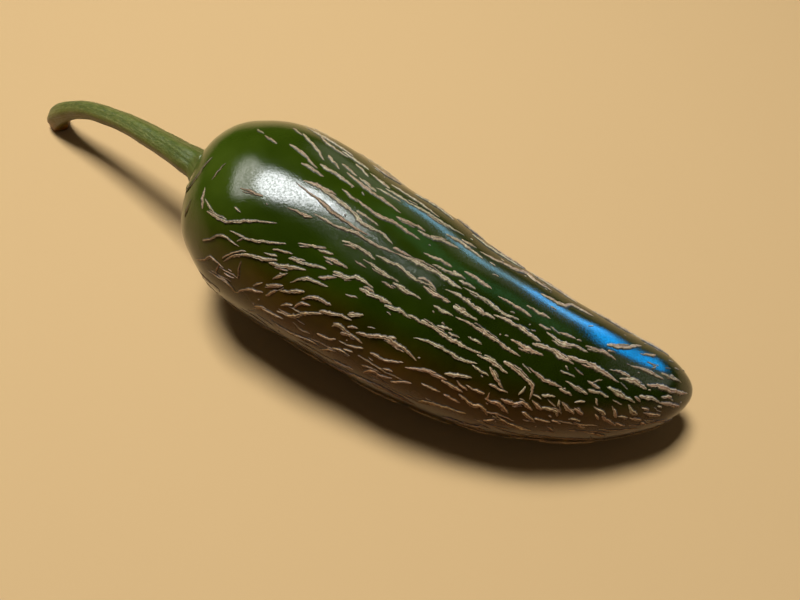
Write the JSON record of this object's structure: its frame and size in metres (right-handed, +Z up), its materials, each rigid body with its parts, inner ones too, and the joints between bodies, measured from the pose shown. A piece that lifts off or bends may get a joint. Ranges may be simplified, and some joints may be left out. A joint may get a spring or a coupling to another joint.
{
  "type": "chilli pepper",
  "caption": "Fresh green chilli pepper as picked: a blunt, slightly bent glossy pod with raised corky streaks, lying on its belly and its hooked stem.",
  "frame": {"origin": "middle of the footprint, on the surface that the pepper lies on", "axes": "+X along the pod from the stem to the tip, +Z up, and +Y to the side that the tip bends toward"},
  "size_m": [0.1426, 0.0422, 0.037],
  "materials": {
    "skin": "glossy dark green waxy skin with matt tan cork streaks",
    "stem": "satin mid green stalk with pale lengthwise lines and a brown cut end"
  },
  "bodies": {
    "root": {"pod": "skin", "stem": "stem"}
  },
  "joints": []
}
